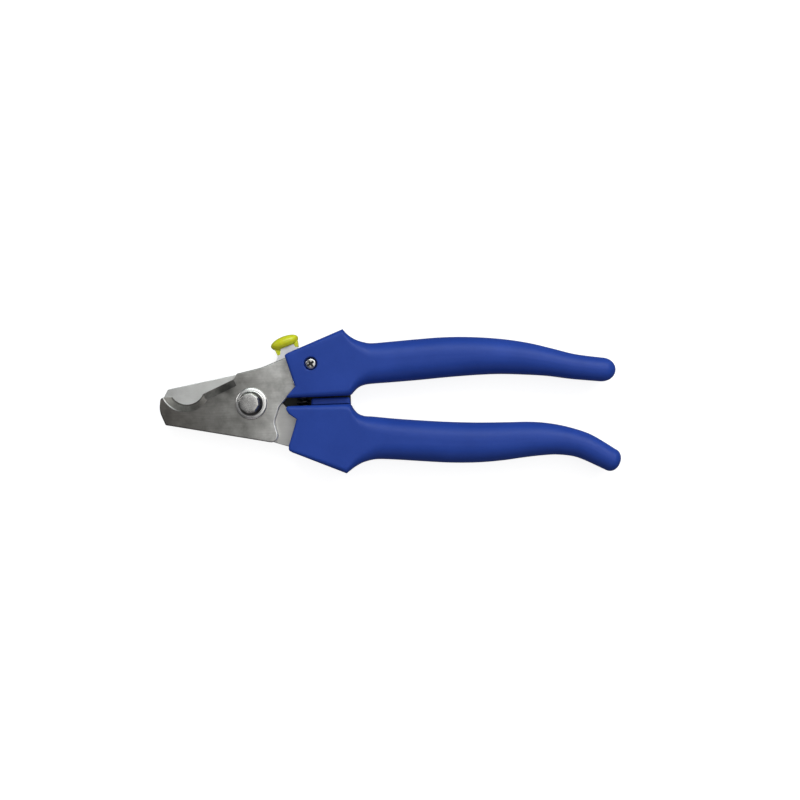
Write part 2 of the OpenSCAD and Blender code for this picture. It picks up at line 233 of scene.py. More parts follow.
class Nodes:
    """A material's node tree, with its Principled shader and short ways to add nodes."""

    def __init__(self, name):
        self.mat = bpy.data.materials.new(name)
        self.mat.use_nodes = True
        self.tree = self.mat.node_tree
        self.shader = self.tree.nodes["Principled BSDF"]
        self.place = self.add("ShaderNodeTexCoord").outputs["Object"]

    def add(self, kind, **settings):
        node = self.tree.nodes.new(kind)
        for key, value in settings.items():
            setattr(node, key, value)
        return node

    def link(self, a, b):
        self.tree.links.new(a, b)

    def noise(self, scale, detail=3, roughness=0.5, stretch=(1, 1, 1), turn=0):
        mapping = self.add("ShaderNodeMapping")
        mapping.inputs["Scale"].default_value = stretch
        mapping.inputs["Rotation"].default_value = (0, 0, turn)
        self.link(self.place, mapping.inputs["Vector"])
        node = self.add("ShaderNodeTexNoise")
        node.inputs["Scale"].default_value = scale
        node.inputs["Detail"].default_value = detail
        node.inputs["Roughness"].default_value = roughness
        self.link(mapping.outputs["Vector"], node.inputs["Vector"])
        return node.outputs["Fac"]

    def ramp(self, fac, *stops):
        node = self.add("ShaderNodeValToRGB")
        els = node.color_ramp.elements
        while len(els) < len(stops):
            els.new(0.5)
        for el, (at, colour) in zip(els, stops):
            el.position = at
            el.color = (*colour, 1)
        self.link(fac, node.inputs["Fac"])
        return node.outputs["Color"]

    def span(self, fac, low, high, f0=0.0, f1=1.0):
        """low to high as fac goes from f0 to f1, and level outside that."""
        node = self.add("ShaderNodeMapRange")
        node.inputs["From Min"].default_value = f0
        node.inputs["From Max"].default_value = f1
        node.inputs["To Min"].default_value = low
        node.inputs["To Max"].default_value = high
        self.link(fac, node.inputs["Value"])
        return node.outputs["Result"]

    def math(self, how, a, b):
        node = self.add("ShaderNodeMath", operation=how)
        for socket, value in zip(node.inputs, (a, b)):
            if isinstance(value, (int, float)):
                socket.default_value = value
            else:
                self.link(value, socket)
        return node.outputs["Value"]

    def mix(self, fac, a, b, how="MIX"):
        node = self.add("ShaderNodeMix", data_type="RGBA", blend_type=how)
        if isinstance(fac, (int, float)):
            node.inputs["Factor"].default_value = fac
        else:
            self.link(fac, node.inputs["Factor"])
        for key, value in (("A", a), ("B", b)):
            socket = [s for s in node.inputs if s.name == key and s.type == "RGBA"][0]
            if isinstance(value, tuple):
                socket.default_value = (*value, 1)
            else:
                self.link(value, socket)
        return [s for s in node.outputs if s.type == "RGBA"][0]

    def axis(self, which):
        node = self.add("ShaderNodeSeparateXYZ")
        self.link(self.place, node.inputs["Vector"])
        return node.outputs[which]

    def bump(self, height, distance, strength=1.0, onto=None):
        node = self.add("ShaderNodeBump")
        node.inputs["Strength"].default_value = strength
        node.inputs["Distance"].default_value = distance
        self.link(height, node.inputs["Height"])
        if onto is not None:
            self.link(onto, node.inputs["Normal"])
        return node.outputs["Normal"]

    def distance(self, scale, point):
        """Distance from a point, in the object's coordinates times scale."""
        scaled = self.add("ShaderNodeVectorMath", operation="MULTIPLY")
        self.link(self.place, scaled.inputs[0])
        scaled.inputs[1].default_value = scale
        far = self.add("ShaderNodeVectorMath", operation="DISTANCE")
        self.link(scaled.outputs["Vector"], far.inputs[0])
        far.inputs[1].default_value = [a * b for a, b in zip(scale, point)]
        return far.outputs["Value"]

    def set(self, **values):
        names = {"color": "Base Color", "rough": "Roughness", "metal": "Metallic", "normal": "Normal",
                 "spec": "Specular IOR Level", "sss": "Subsurface Weight",
                 "sss_scale": "Subsurface Scale"}
        for key, value in values.items():
            socket = self.shader.inputs[names[key]]
            if isinstance(value, (int, float)):
                socket.default_value = value
            else:
                self.link(value, socket)
        return self.mat


def plastic_blue():
    n = Nodes("satin_blue_plastic")
    cloud = n.noise(70, 4, 0.6)
    grain = n.noise(2600, 2, 0.6)
    colour = n.ramp(cloud, (0.3, (0.013, 0.046, 0.285)), (0.7, (0.018, 0.058, 0.340)))
    colour = n.mix(n.span(grain, 0.0, 0.16, 0.35, 0.75), colour, (0.025, 0.075, 0.39))
    # mould seam round the handle, half way up
    seam = n.math("ABSOLUTE", n.math("SUBTRACT", n.axis("Z"), SHEAR * MM), 0.0)
    seam = n.span(seam, 1.0, 0.0, 0.00005, 0.00016)
    fine = n.bump(grain, 0.00003, 0.5)
    lumps = n.bump(n.noise(220, 3, 0.5), 0.0002, 0.12, fine)
    n.set(normal=n.bump(seam, 0.00006, 0.6, lumps), color=colour, spec=0.22,
          rough=n.span(n.noise(900, 3, 0.6), 0.38, 0.52, 0.3, 0.7))
    return n.mat


def steel(name, dark, light, rough, brush=(1, 1, 1), turn=0, fine=1800, mottled=110, painted_shading=(), notch_darkening_and_painted_light=False,
          grain=0.35):
    """Bare metal with clouded tone and fine lines. The [x in mm, tone] stops along the tool are painted
    light and shade.
    """
    n = Nodes(name)
    cloud = n.noise(mottled, 5, 0.65)
    lines = n.noise(fine, 3, 0.6, brush, turn)
    colour = n.ramp(cloud, (0.32, dark), (0.68, light))
    colour = n.mix(n.span(lines, 0.0, grain, 0.4, 0.75), colour, dark)
    # painted shading along X: the tone darkens towards the tip and brightens behind the pivot, as the light
    # falls
    if painted_shading:
        first, last = painted_shading[0][0], painted_shading[-1][0]
        wander = n.math("ADD", n.axis("X"), n.span(n.noise(160, 3, 0.6), -0.0025, 0.0025))
        along = n.span(wander, 0.0, 1.0, first * MM, last * MM)
        stops = [((x - first) / (last - first), tone) for x, tone in painted_shading]
        colour = n.mix(1.0, colour, n.ramp(along, *stops), "MULTIPLY")
    if notch_darkening_and_painted_light:
        # darker close to the notch, with a painted highlight line round its tip side
        far = n.distance((1, 1, 0), (NOTCH[0] * MM, NOTCH[1] * MM, 0))
        rim = n.span(far, 0.45, 1.0, (NOTCH[2] + 0.15) * MM, (NOTCH[2] + 0.7) * MM)
        colour = n.mix(1.0, colour, rim, "MULTIPLY")
        line = n.math("ABSOLUTE", n.math("SUBTRACT", far, (NOTCH[2] + BEVEL - 0.1) * MM), 0.0)
        line = n.math("MULTIPLY", n.span(line, 1.0, 0.0, 0.00010, 0.00030),
                      n.span(n.axis("X"), 1.0, 0.0, -0.0285, -0.0255))
        colour = n.mix(n.math("MULTIPLY", line, 0.5), colour, (0.80, 0.79, 0.77))
        # painted dark reflection at the end of the straight edge
        painted_dark_reflection = n.distance((1 / 0.0036, 1 / 0.0022, 0), (-0.0096, 0.0057, 0))
        painted_dark_reflection = n.math("ADD", painted_dark_reflection, n.span(n.noise(420, 4, 0.6), -0.25, 0.25))
        colour = n.mix(1.0, colour, n.span(painted_dark_reflection, 0.52, 1.0, 0.55, 1.2), "MULTIPLY")
    n.set(color=colour, metal=1.0,
          rough=n.math("ADD", n.span(lines, rough[0], rough[1], 0.3, 0.7), n.span(cloud, -0.04, 0.04)),
          normal=n.bump(lines, 0.00002, grain))
    return n.mat


def plastic_yellow():
    n = Nodes("yellow_green_plastic")
    cloud = n.noise(160, 3, 0.5)
    n.set(color=n.ramp(cloud, (0.3, (0.60, 0.62, 0.010)), (0.7, (0.72, 0.73, 0.022))),
          rough=n.span(n.noise(1400, 3, 0.6), 0.26, 0.40, 0.3, 0.7), spec=0.5,
          sss=0.12, sss_scale=0.0008, normal=n.bump(n.noise(2400, 2), 0.00002, 0.4))
    return n.mat


def plastic_black():
    n = Nodes("dark_grey_plastic")
    cloud = n.noise(300, 4, 0.6)
    n.set(color=n.ramp(cloud, (0.3, (0.020, 0.023, 0.020)), (0.7, (0.040, 0.044, 0.038))),
          rough=n.span(n.noise(1800, 3), 0.48, 0.62, 0.3, 0.7),
          normal=n.bump(n.noise(2600, 2), 0.00003, 0.5))
    return n.mat


BLUE = plastic_blue()
YELLOW = plastic_yellow()
BLACK = plastic_black()
EVEN = (1, 1, 1)
# The tone stops along X in these plate and ground edge steels are painted light and shade.
PLATE = steel("satin_plate_steel", (0.34, 0.335, 0.32), (0.70, 0.69, 0.67), (0.34, 0.46),
              (0.06, 1, 1), 0.12,
              painted_shading=[(-33, (0.36, 0.34, 0.32)), (-20, (0.36, 0.35, 0.335)), (-7, (0.61, 0.605, 0.59)),
                      (3, (0.83, 0.825, 0.81)), (10, (1.20, 1.20, 1.19))], notch_darkening_and_painted_light=True)
# the back plate's lighter base tone is painted light
PLATE_BACK = steel("satin_back_plate_steel", (0.74, 0.74, 0.715), (0.90, 0.90, 0.875), (0.32, 0.42),
                   (0.06, 1, 1), 0.2,
                   painted_shading=[(-33, (1, 1, 1)), (-8, (1.04, 1.04, 1.03)), (5, (0.78, 0.77, 0.76)),
                           (14, (0.66, 0.65, 0.65))])
GROUND = steel("ground_edge_steel", (0.20, 0.195, 0.185), (0.36, 0.35, 0.335), (0.32, 0.46),
               (1, 0.05, 1), 0.41, 2600, 240,
               painted_shading=[(-33, (0.58, 0.56, 0.54)), (-24, (0.6, 0.58, 0.56)), (-16, (1.15, 1.13, 1.1)),
                       (-12.6, (1.1, 1.08, 1.05)), (-9, (0.95, 0.93, 0.91)), (-5, (0.8, 0.79, 0.78))],
               notch_darkening_and_painted_light=True)
# painted shade for the steep sides of the rivet heads
HEAD_SIDE_SHADE = steel("painted_shade_steel", (0.07, 0.07, 0.07), (0.16, 0.155, 0.15), (0.34, 0.44), EVEN, 0, 900, 500)
WASHER = steel("washer_steel", (0.66, 0.65, 0.63), (0.84, 0.83, 0.81), (0.26, 0.34), EVEN, 0, 900, 300,
               grain=0.04)
# painted highlight for the front plate's rounded right edge
EDGE_HIGHLIGHT = steel("painted_edge_highlight_steel", (0.86, 0.855, 0.84), (0.95, 0.945, 0.93), (0.40, 0.50), EVEN, 0,
               1500, 300, grain=0.05)
BRIGHT = steel("polished_steel", (0.50, 0.49, 0.47), (0.68, 0.67, 0.65), (0.20, 0.28), EVEN, 0, 700, 300,
               grain=0.03)
NECK = steel("bright_lever_steel", (0.80, 0.79, 0.80), (0.92, 0.91, 0.93), (0.38, 0.48), (1, 0.08, 1), 0.3)
# black spring wire, also used as painted shade inside the screw's cross recess
BLACK_WIRE_AND_RECESS_SHADE = steel("black_spring_wire_and_recess_shade", (0.030, 0.030, 0.032), (0.075, 0.074, 0.075), (0.34, 0.46), EVEN, 0,
             2200, 400)
WIRE_BRIGHT = steel("bright_spring_wire", (0.45, 0.45, 0.45), (0.62, 0.62, 0.62), (0.22, 0.32), EVEN, 0,
                    2200, 400)
BRASS = steel("nut_brass", (0.52, 0.38, 0.14), (0.72, 0.55, 0.24), (0.24, 0.34), EVEN, 0, 1600, 300)


def finish(ob, mat, body, slot, *nodes):
    """Gives a new piece its material and its body, and hides the CAD nodes that it stands for."""
    if not ob.data.materials:
        ob.data.materials.append(mat)
    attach(ob, body)
    if nodes:
        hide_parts(*nodes)
    return ob


# ---- Handles --------------------------------------------------------------------------------

FULL = THICK / 2
END = 5.0           # half thickness at the free end
HEAD_REACH = 19.0   # rough length from the mouth to the first grip row
# A grip row is x and y of the +Y edge, x and y of the -Y edge, edge radius and half thickness.
# The mouth is [y, x] points from the -Y edge to the +Y edge. Creases are the fractions of the way
# across, from the +Y edge, where the mouth has a corner.
UPPER = {
    "grip": [
        [33.6, 25.2, 33.6, HALF_GAP, 2.2, FULL], [34.9, 23.6, 35.5, 1.75, 2.6, FULL],
        [36.6, 22.2, 36.5, 2.75, 3.2, FULL], [38.6, 21.1, 38.0, 4.1, 3.8, FULL],
        [40.8, 20.4, 40.0, 5.0, 4.4, FULL], [43.6, 19.95, 43.0, 5.4, 5.4, FULL],
        [50, 20.25, 50, 5.65, 6.0, FULL], [60, 20.8, 60, 6.1, 6.2, FULL],
        [70, 21.15, 70, 6.7, 6.3, FULL], [80, 20.8, 80, 7.1, 6.3, FULL],
        [90.5, 19.7, 89, 7.15, 6.1, FULL], [100, 17.9, 98, 6.6, 5.6, FULL],
        [108.5, 15.5, 106.5, 5.8, 4.9, FULL - 0.2], [116.5, 13.2, 115, 4.4, 4.35, (FULL + END) / 2],
        [126.1, 11.65, 125.6, 3.1, 4.2, END]],
    "mouth": [[HALF_GAP, 12.5], [1.65, 12.5], [5.4, 16.0], [16.3, 12.8], [16.8, 12.85], [17.25, 13.35]],
    "creases": [0.78, 0.803, 0.826],
    "cap": 5.0,
}
LOWER = {
    "grip": [
        [33.1, -HALF_GAP, 33.1, -26.2, 2.2, FULL], [35.2, -1.8, 34.6, -25.1, 2.6, FULL],
        [36.3, -3.5, 36.4, -23.9, 3.2, FULL], [37.9, -5.2, 38.8, -22.7, 3.8, FULL],
        [40.2, -6.1, 41.6, -21.95, 4.4, FULL], [43.2, -6.4, 44.8, -21.7, 5.4, FULL],
        [50.8, -7.4, 51.4, -22.2, 6.0, FULL], [60.2, -8.4, 60.8, -23.15, 6.2, FULL],
        [70, -9.3, 70.4, -24.0, 6.3, FULL], [80.6, -9.95, 80.2, -24.3, 6.3, FULL],
        [91, -10.25, 89, -23.9, 6.1, FULL], [100, -10.45, 96.8, -23.1, 5.9, FULL],
        [107.5, -11.4, 103.4, -22.6, 5.5, FULL - 0.2], [114.5, -13.2, 109.4, -22.6, 5.1, FULL - 0.6],
        [121.4, -15.95, 116.4, -24.0, 4.6, (FULL + END) / 2], [129.6, -21.3, 126.4, -28.95, 4.1, END]],
    "mouth": [[-17.6, 13.3], [-17.2, 12.95], [-15.5, 13.0], [-9.8, 15.0], [-6.2, 16.1], [-4.2, 13.4],
              [-2.8, 12.55], [-HALF_GAP, 12.5]],
    "creases": [0.09, 0.105, 0.12, 0.235, 0.252, 0.27, 0.519, 0.947],
    "cap": 3.4,
}


def section(w, h, r, fractions, steps=9, side=2):
    """Half of a rounded rectangle, from the +Y edge over the front to the -Y edge: (u, z)."""
    r = min(r, w * 0.999, h * 0.999)
    pts = [(w, (h - r) * k / side) for k in range(side)]
    pts += [(w - r + r * math.cos(t), h - r + r * math.sin(t))
            for t in (math.pi / 2 * k / steps for k in range(steps + 1))]
    flat = w - r
    pts += [(flat * (1 - 2 * f), h) for f in fractions if 0 < f < 1]
    pts += [(-(w - r) - r * math.sin(t), h - r + r * math.cos(t))
            for t in (math.pi / 2 * k / steps for k in range(steps + 1))]
    pts += [(-w, (h - r) * (side - 1 - k) / side) for k in range(side)]
    return pts


def between(rows, i, t):
    """Smooth curve through the rows, at the fraction t of the way from row i to the next."""
    a, b, c, d = (np.array(rows[min(max(k, 0), len(rows) - 1)], float) for k in (i - 1, i, i + 1, i + 2))
    return 0.5 * (2 * b + (c - a) * t + (2 * a - 5 * b + 4 * c - d) * t * t
                  + (3 * b - a - 3 * c + d) * t ** 3)


def closed(half):
    """Whole ring from its front half."""
    return half + [(x, y, 2 * SHEAR - z) for x, y, z in half[-2:0:-1]]


def handle(name, spec, fillet=0.9, fine=5):
    """Handle with a rounded mouth, a lofted grip and a domed end. Its cuts come later."""
    fractions = sorted(set([round(k / 12, 4) for k in range(1, 12)] + spec["creases"]))
    rows = spec["grip"]
    ys = [p[0] for p in spec["mouth"]]
    xs = [p[1] for p in spec["mouth"]]
    low, high = ys[0], ys[-1]
    w_m = (high - low) / 2
    first = rows[0]
    top, foot = np.array(first[:2]), np.array(first[2:4])
    w_s = np.linalg.norm(top - foot) / 2
    rings = []

    def head(t, shrink):
        """Ring at the fraction t of the way from the mouth to the first grip row."""
        w = w_m + (w_s - w_m) * t
        r = 1.25 + (first[4] - 1.25) * t ** 0.7
        half = []
        for u, z in section(w - shrink, FULL - shrink, max(r - shrink, 0.2), fractions):
            f = (u + w) / (2 * w)
            y = low + (high - low) * f
            m = np.array([np.interp(y, ys, xs), y])
            s = foot + (top - foot) * f
            p = m + (s - m) * t
            half.append((p[0], p[1], SHEAR + z))
        return closed(half)

    for k in range(6):
        a = math.pi / 2 * (1 - k / 5)
        rings.append(head(fillet * (1 - math.sin(a)) / HEAD_REACH, fillet * (1 - math.cos(a))))
    for k in range(1, 13):
        rings.append(head(fillet / HEAD_REACH + (1 - fillet / HEAD_REACH) * k / 13, 0))

    def grip(row, push=0.0, shrink=1.0):
        o, n = row[:2], row[2:4]
        across = unit(o - n)
        along = np.array([across[1], -across[0]])
        w = np.linalg.norm(o - n) / 2 * shrink
        h = min(row[5], FULL) * shrink
        mid = (o + n) / 2 + along * push
        return closed([(mid[0] + across[0] * u, mid[1] + across[1] * u, SHEAR + z)
                       for u, z in section(w, h, row[4], fractions)])

    for i in range(len(rows) - 1):
        rings += [grip(between(rows, i, k / fine)) for k in range(fine)]
    last = np.array(rows[-1], float)
    rings.append(grip(last))
    for k in range(1, 10):
        a = math.radians(88) * k / 9
        rings.append(grip(last, spec["cap"] * math.sin(a), math.cos(a)))

    # The mouth's face is filled with strips from its front edge to its rear edge.
    m = len(rings[0])
    half = m // 2
    verts = [p for r in rings for p in r]
    faces = []
    for i in range(len(rings) - 1):
        for j in range(m):
            a, b = i * m + j, i * m + (j + 1) % m
            faces.append((a, b, b + m, a + m))
    faces.append((m - 1, m - 2, m - 3, 3, 2, 1, 0))
    faces.append(tuple(half + k for k in range(3, -4, -1)))
    for j in range(3, half - 3):
        faces.append((m - j, m - j - 1, j + 1, j))
    faces.append(tuple((len(rings) - 1) * m + j for j in range(m)))
    return make(name, verts, faces, 38)


def hexagon(flats):
    r = flats / math.sqrt(3)
    return [(SCREW[0] + r * math.cos(math.radians(60 * k)), SCREW[1] + r * math.sin(math.radians(60 * k)))
            for k in range(6)]


def circle(centre, r, n=96):
    return [(centre[0] + r * math.cos(2 * math.pi * k / n), centre[1] + r * math.sin(2 * math.pi * k / n))
            for k in range(n)]


SPRING_X = 18.3
FRONT = [
    [-31.0, -6.6, 0.6], [9.8, -14.9, 2.4], [7.9, -7.0, 4], [9.8, -1.6, 4], [16.4, 5.6, 1.5],
    [18.5, 7.4, 1.5], [27, 7.5, 3], [38, 9.6, 4], [78, 10.6, 2], [78, 17.0, 2], [38, 16.2, 4],
    [30, 18.2, 3], [15, 16.8, 1.5], [4.0, 12.7, 20], [-4.9, 10.85, 0.6], [-5.9, 9.1, 0.8],
    [-19.2, 3.3, 0], [-32.5, 3.3, 1.2], [-33.1, -1.5, 8]]
BACK = [
    [-32.0, -3.6, 1.2], [-32.0, 3.2, 5], [-30.3, 6.15, 1.4], [-5, 10.6, 8], [4.6, 10.9, 1],
    [6.4, 12.3, 0.5], [8.45, 11.4, 0.3], [8.85, 9.5, 0.4], [7.4, 6.8, 2], [9.4, 1.2, 4],
    [15.9, -5.8, 1.5], [18.5, -7.6, 1.5], [27, -8.2, 3], [38, -10.6, 4], [78, -13.6, 2],
    [78, -20.0, 2], [38, -17.4, 4], [30, -20.4, 3], [13.5, -16.4, 4], [4.5, -13.4, 6],
    [-5.9, -11.0, 1], [-5.9, -9.5, 0.8], [-19.2, -3.6, 0]]


def spring_pocket(sign):
    """Cutter for one blind pocket of the opening spring."""
    rings = []
    for y, r in ((0, 2.85), (1.45, 2.85), (1.75, 2.55), (5.03, 2.55)):
        rings.append([(SPRING_X + r * math.cos(a), sign * y, SHEAR + r * math.sin(a))
                      for a in (2 * math.pi * k / 48 for k in range(48))])
    return rings_mesh("pocket", rings)


upper = handle("upper_handle_moulding", UPPER)
slot = prism("slot", [(5, 9.2), (21, 9.2), (19.2, 17), (17.35, 19.2), (17.35, 30), (5, 30)], (3.88, 6.8))
boss_room = prism("boss_room", circle(SCREW, 4.4), (3.87, 6.79))
spring_seat = prism("spring_seat", [(15.25, 7.7), (17.55, 7.7), (17.55, 10), (15.25, 10)], (3.89, 6.78))
counterbore = lathe("counterbore", [(0, 11.2), (2.35, 11.2), (2.35, 12.55), (2.4, 12.78), (2.55, 12.95),
                                    (2.85, 13.05), (2.85, 14), (0, 14)], SCREW)
nut_room = prism("nut_room", hexagon(5.2), (-1, 2.5))
guard_rebate = prism("guard_rebate", [(12, 0), (37, 0), (37, GUARD_TOP + 0.6), (12, GUARD_TOP + 0.6)],
                     (-1, 3.8))
upper = cut(upper, [guard_rebate, prism("blade_room", rounded(FRONT), FRONT_Z), slot, boss_room,
                    spring_seat, spring_pocket(1), counterbore, nut_room], sharp=38)
finish(weighted(upper), BLUE, "upper_half", "blue_plastic", "upper_handle")

lower = handle("lower_handle_moulding", LOWER)
stop = plate("stop", rounded([[21, -4, 0.9], [21.4, 1.0, 0.9], [35, 1.0, 0.9], [35.6, -4, 0.9]]),
             (4.0, 9.0), 0.85, 6)
stop_groove = prism("stop_groove", [(20, -HALF_GAP), (38, -HALF_GAP), (38, -1.15), (20, -1.15)], (7.5, 14))
guard_room = prism("guard_room", [(8, GUARD_TOP + 0.1), (GUARD_END + 0.05, GUARD_TOP + 0.1),
                                  (GUARD_END + 0.05, -3.65), (13, -3.65), (8, -1.2)], (0.88, 3.42))
cut(lower, [stop], "UNION")
cut(lower, [stop_groove])
lower = cut(lower, [prism("blade_room", rounded(BACK), BACK_Z), spring_pocket(-1), guard_room], sharp=38)
finish(weighted(lower), BLUE, "lower_half", "blue_plastic", "lower_handle")

# ---- Blades ---------------------------------------------------------------------------------

SLOPE = BEVEL / (BLADE_T - LAND)
EDGE_START, EDGE_LENGTH = (-6.2, 8.97), 13.2    # of the straight bevel beside the notch
EDGE_ANGLE = math.radians(23.6)
BACK_DROP = 0.3     # the back jaw's cutting edges are the front jaw's, turned over and this much lower
RIVET_R, BORE_R = 3.0, 3.05


def blade_cutters(place):
    """The notch's cone and the straight bevel, moved by place(x, y, height above the cutting face)."""
    reach = BEVEL + SLOPE
    x0, y0, r = NOTCH
    rings = []
    for radius, z in ((AXIS_R, -1), (r, -1), (r, LAND), (r + reach, BLADE_T + 1), (AXIS_R, BLADE_T + 1)):
        rings.append([place(x0 + radius * math.cos(a), y0 + radius * math.sin(a), z)
                      for a in (2 * math.pi * k / 144 for k in range(144))])
    cone = rings_mesh("cone", rings)
    along = np.array([-math.cos(EDGE_ANGLE), -math.sin(EDGE_ANGLE)])
    inward = np.array([math.sin(EDGE_ANGLE), -math.cos(EDGE_ANGLE)])
    start = np.array(EDGE_START)
    shape = [(0, LAND), (reach, BLADE_T + 1), (-1, BLADE_T + 1), (-1, LAND)]
    rows = []
    for push in (0, EDGE_LENGTH):
        rows.append([place(*(start + along * push + inward * d), z) for d, z in shape])
    return [cone, rings_mesh("edge", rows)]


def blade(name, outline, z, rim, place, extra, base, body, node, up):
    """One jaw. up is 1 if its ground bevel faces +Z, and -1 if it faces -Z."""
    ob = plate(name, rounded(outline), z, rim, 5)
    ob = cut(ob, blade_cutters(place) + extra, sharp=32)
    ob.data.materials.append(base)
    ob.data.materials.append(GROUND)
    ob.data.materials.append(EDGE_HIGHLIGHT)
    slant = up * BEVEL / math.hypot(BEVEL, BLADE_T - LAND)
    for f in ob.data.polygons:
        if f.center.x < -0.005 and abs(f.normal.z - slant) < 0.03:
            f.material_index = 1
        elif up > 0 and f.center.x > 0.004 and f.normal.x > 0.35 and 0.25 < f.normal.z < 0.97:
            # the rounded edge behind the pivot gets a painted highlight
            f.material_index = 2
    return finish(weighted(ob), base, body, "blade_steel", node)


# Small slanted slot in the front blade, behind the pivot.
relief = [(15.3 + a * math.cos(math.radians(-70)) - b * math.sin(math.radians(-70)),
           6.8 + a * math.sin(math.radians(-70)) + b * math.cos(math.radians(-70)))
          for a, b in ((-0.95, -0.25), (0.95, -0.25), (0.95, 0.25), (-0.95, 0.25))]
blade("front_blade_plate", FRONT, FRONT_Z, 0.5, lambda x, y, h: (x, y, FRONT_Z[0] + h),
      [prism("bore", circle((0, 0), RIVET_R), (5, 12)), prism("bore2", circle(SCREW, 1.3), (5, 12)),
       prism("relief", relief, (5, 12))], PLATE, "upper_half", "front_blade", 1)
blade("back_blade_plate", BACK, BACK_Z, 0.24, lambda x, y, h: (x, -BACK_DROP - y, BACK_Z[1] - h),
      [prism("bore", circle((0, 0), BORE_R), (2, 9))], PLATE_BACK, "lower_half", "back_blade", -1)

# ---- Pivot ----------------------------------------------------------------------------------


def arc(cx, cz, r, a0, a1, n=8):
    """Points of an arc in [radius, z], from a0 to a1 degrees."""
    return [(cx + r * math.cos(math.radians(a0 + (a1 - a0) * k / n)),
             cz + r * math.sin(math.radians(a0 + (a1 - a0) * k / n))) for k in range(n + 1)]


def flip(profile):
    """The same profile on the other side of the tool."""
    return [(r, THICK - z) for r, z in profile]


COLLAR = FRONT_Z[1] + 1.1     # height of the front washer's outer face
washer = ([(BORE_R, FRONT_Z[1])] + arc(5.5, FRONT_Z[1] + 0.2, 0.2, -90, 0, 4)
          + [(4.75 + 0.95 * math.cos(math.radians(t)), FRONT_Z[1] + 0.42 + 0.66 * math.sin(math.radians(t)))
             for t in range(0, 91, 9)]
          + [(4.3, COLLAR), (BORE_R + 0.1, COLLAR), (BORE_R, COLLAR - 0.1), (BORE_R, FRONT_Z[1])])
for node, profile in (("front_washer", washer), ("rear_washer", flip(washer))):
    ring = lathe(node + "_ring", profile, sides=128, sharp=50)
    finish(ring, WASHER, "upper_half", "bright_steel", node)

head = ([(RIVET_R, COLLAR)] + arc(4.45, COLLAR + 0.15, 0.15, -90, 0, 3)
        + arc(4.45, COLLAR + 0.22, 0.15, 0, 80, 4)
        + [(4.3, COLLAR + 0.42), (4.25, COLLAR + 1.0), (3.75, THICK - 0.6)]
        + arc(3.2, THICK - 0.32, 0.32, 15, 90, 6) + [(1.6, THICK - 0.01), (0, THICK)])
rivet = lathe("pivot_rivet_pin", flip(head)[::-1] + head, sides=128, sharp=50)
# Each hammered end is eight-sided and a little off centre.
for v in rivet.data.vertices:
    r, depth = math.hypot(v.co.x, v.co.y) / MM, abs(v.co.z / MM - SHEAR)
    rise = min(1, max(0, (depth - SHEAR + 1.5) / 1.1))
    if r > 2:
        a = (math.atan2(v.co.y, v.co.x) + 0.25) % (math.pi / 4) - math.pi / 8
        k = 1 - 0.7 * (1 - math.cos(math.pi / 8) / math.cos(a)) * rise
        v.co.x *= k
        v.co.y *= k
    v.co.x -= 0.45 * MM * rise
    v.co.y += 0.15 * MM * rise
rivet.data.materials.append(BRIGHT)
rivet.data.materials.append(HEAD_SIDE_SHADE)
# The steep side of each head gets painted shade.
for f in rivet.data.polygons:
    if SHEAR - 0.5 > abs(f.center.z / MM - SHEAR) > COLLAR - SHEAR + 0.4:
        f.material_index = 1
finish(rivet, BRIGHT, "upper_half", "bright_steel", "pivot_rivet")

# ---- Springs and spring guard ---------------------------------------------------------------

ob = coil("opening_spring_coil", (SPRING_X, 4.95, SHEAR), (SPRING_X, -4.95, SHEAR), 4.6, 0.8, 7)
ob.data.materials.append(BLACK_WIRE_AND_RECESS_SHADE)
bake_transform(ob)
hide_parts("opening_spring")

ob = coil("latch_spring_coil", (16.4, 7.75, LEVER_MID), (16.4, 11.25, LEVER_MID), 1.9, 0.3, 5)
ob.data.materials.append(WIRE_BRIGHT)
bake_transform(ob)
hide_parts("latch_spring")

guard = plate("spring_guard_tongue", rounded([
    [8.6, -0.3, 0.4], [11.6, 0.9, 0.8], [13, GUARD_TOP, 0.4], [GUARD_END, GUARD_TOP, 0.4],
    [GUARD_END, -3.6, 0.4], [13.6, -3.6, 0.6], [11.2, -2.6, 1]]), (0.9, 3.4), 0.2)
finish(weighted(guard), BLACK, "lower_half", "black_plastic", "spring_guard")

# ---- Latch ----------------------------------------------------------------------------------

boss = [[SCREW[0] + 4 * math.cos(math.radians(a)), SCREW[1] + 4 * math.sin(math.radians(a)), 0]
        for a in range(135, -142, -6)]
LEVER = ([[8.68, 12.35, 0.25], [8.68, 14.2, 0.6], [9.6, 16.2, 1], [9.9, 19.2, 0.4], [10.3, 20.8, 0.4],
          [14.8, 22.5, 0.4], [16.3, 20.9, 0.4], [17.05, 19.4, 0.5], [16.9, 17.7, 1]] + boss
         + [[17.4, 11.3, 0], [15.4, 11.3, 0], [12.2, 12.7, 1], [10.8, 12.15, 0.3]])
lever = plate("latch_lever_plate", rounded(LEVER, 6), LEVER_Z, 0.12)
lever = cut(lever, [prism("bore", circle(SCREW, 2.25), (3, 8))], sharp=32)
finish(weighted(lever), NECK, "latch", "blade_steel", "latch_lever")

BUTTON_AT, TILT = (12.85, 19.85), math.radians(19.5)
LENGTH, WIDTH, HEIGHT, BELLY, UNDER = 10.4, 7.2, 4.0, 1.9, 2.65


def button_scale(h):
    """Width of the button at height h, as a fraction of its widest."""
    reach = UNDER if h < BELLY else HEIGHT - BELLY
    return math.sqrt(1 - ((h - BELLY) / reach) ** 2)


